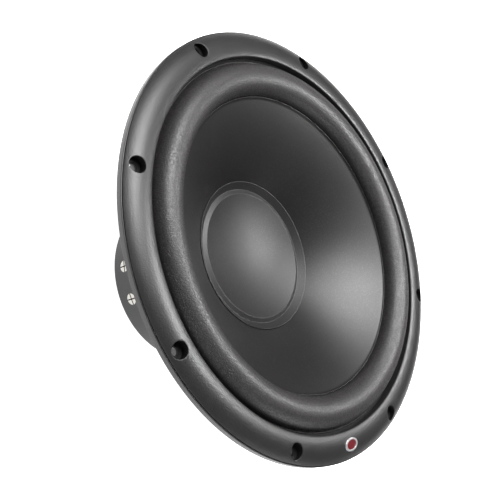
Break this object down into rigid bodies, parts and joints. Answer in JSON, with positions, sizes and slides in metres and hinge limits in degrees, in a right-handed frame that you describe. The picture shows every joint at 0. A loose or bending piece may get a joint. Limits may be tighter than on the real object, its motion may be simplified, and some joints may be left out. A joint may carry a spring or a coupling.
{
  "type": "car subwoofer speaker",
  "caption": "Round car subwoofer driver with a wide cone, foam roll surround, trim ring, open basket, magnet motor and sprung push terminals.",
  "frame": {"origin": "centre of the mounting plane, the underside of the flange", "axes": "+Z along the speaker's axis, out of the front of the cone; the terminal pairs are on +X and -X and the badge on -Y"},
  "size_m": [0.315, 0.315, 0.1377],
  "materials": {
    "ring_plastic": "fine-grained satin",
    "basket_coat": "satin black powder coat",
    "foam": "granular foam",
    "cone_plastic": "satin with fine flecks",
    "cap_plastic": "satin with fine flecks",
    "former_metal": "plain",
    "winding": "enamelled copper wire",
    "spider_cloth": "resin-treated weave",
    "plated_steel": "zinc plated",
    "ferrite": "ground ceramic",
    "boot_plastic": "satin moulding",
    "terminal_plastic": "moulded black",
    "nickel": "bright plating",
    "spring_wire": "drawn wire",
    "screw_black": "black oxide",
    "tinsel": "braided copper",
    "badge_metal": "satin",
    "badge_enamel": "red enamel"
  },
  "bodies": {
    "chassis": {"badge_bezel": "badge_metal", "badge_inlay": "badge_enamel", "basket": "basket_coat", "ferrite_magnet": "ferrite", "motor_boot": "boot_plastic", "motor_screws": "screw_black", "spider": "spider_cloth", "surround": "foam", "terminal_barrel_left_lower": "nickel", "terminal_barrel_left_upper": "nickel", "terminal_barrel_right_lower": "nickel", "terminal_barrel_right_upper": "nickel", "terminal_block_left": "terminal_plastic", "terminal_block_right": "terminal_plastic", "terminal_spring_left_lower": "spring_wire", "terminal_spring_left_upper": "spring_wire", "terminal_spring_right_lower": "spring_wire", "terminal_spring_right_upper": "spring_wire", "terminal_tab_left_lower": "nickel", "terminal_tab_left_upper": "nickel", "terminal_tab_right_lower": "nickel", "terminal_tab_right_upper": "nickel", "tinsel_lead_left_lower": "tinsel", "tinsel_lead_left_upper": "tinsel", "tinsel_lead_right_lower": "tinsel", "tinsel_lead_right_upper": "tinsel", "top_plate": "plated_steel", "trim_ring": "ring_plastic", "yoke": "plated_steel"},
    "cone_assembly": {"cone": "cone_plastic", "dust_cap": "cap_plastic", "voice_coil_former": "former_metal", "voice_coil_inner_winding": "winding", "voice_coil_outer_winding": "winding"},
    "plunger_left_upper": {"terminal_plunger_left_upper": "nickel"},
    "plunger_left_lower": {"terminal_plunger_left_lower": "nickel"},
    "plunger_right_upper": {"terminal_plunger_right_upper": "nickel"},
    "plunger_right_lower": {"terminal_plunger_right_lower": "nickel"}
  },
  "joints": [
    {"name": "cone_travel", "type": "slide", "parent": "chassis", "child": "cone_assembly", "axis": [0, 0, 1], "range_m": [-0.01, 0.01], "stiffness_N_per_m": 4600, "deforming": ["surround", "spider", "tinsel_lead_left_upper", "tinsel_lead_left_lower", "tinsel_lead_right_upper", "tinsel_lead_right_lower"]},
    {"name": "press_left_upper", "type": "slide", "parent": "chassis", "child": "plunger_left_upper", "axis": [0.9867, -0.1625, 0], "range_m": [0, 0.0022], "stiffness_N_per_m": 500, "springref_m": -0.002, "deforming": ["terminal_spring_left_upper"]},
    {"name": "press_left_lower", "type": "slide", "parent": "chassis", "child": "plunger_left_lower", "axis": [0.9867, 0.1625, 0], "range_m": [0, 0.0022], "stiffness_N_per_m": 500, "springref_m": -0.002, "deforming": ["terminal_spring_left_lower"]},
    {"name": "press_right_upper", "type": "slide", "parent": "chassis", "child": "plunger_right_upper", "axis": [-0.9867, -0.1625, 0], "range_m": [0, 0.0022], "stiffness_N_per_m": 500, "springref_m": -0.002, "deforming": ["terminal_spring_right_upper"]},
    {"name": "press_right_lower", "type": "slide", "parent": "chassis", "child": "plunger_right_lower", "axis": [-0.9867, 0.1625, 0], "range_m": [0, 0.0022], "stiffness_N_per_m": 500, "springref_m": -0.002, "deforming": ["terminal_spring_right_lower"]}
  ]
}
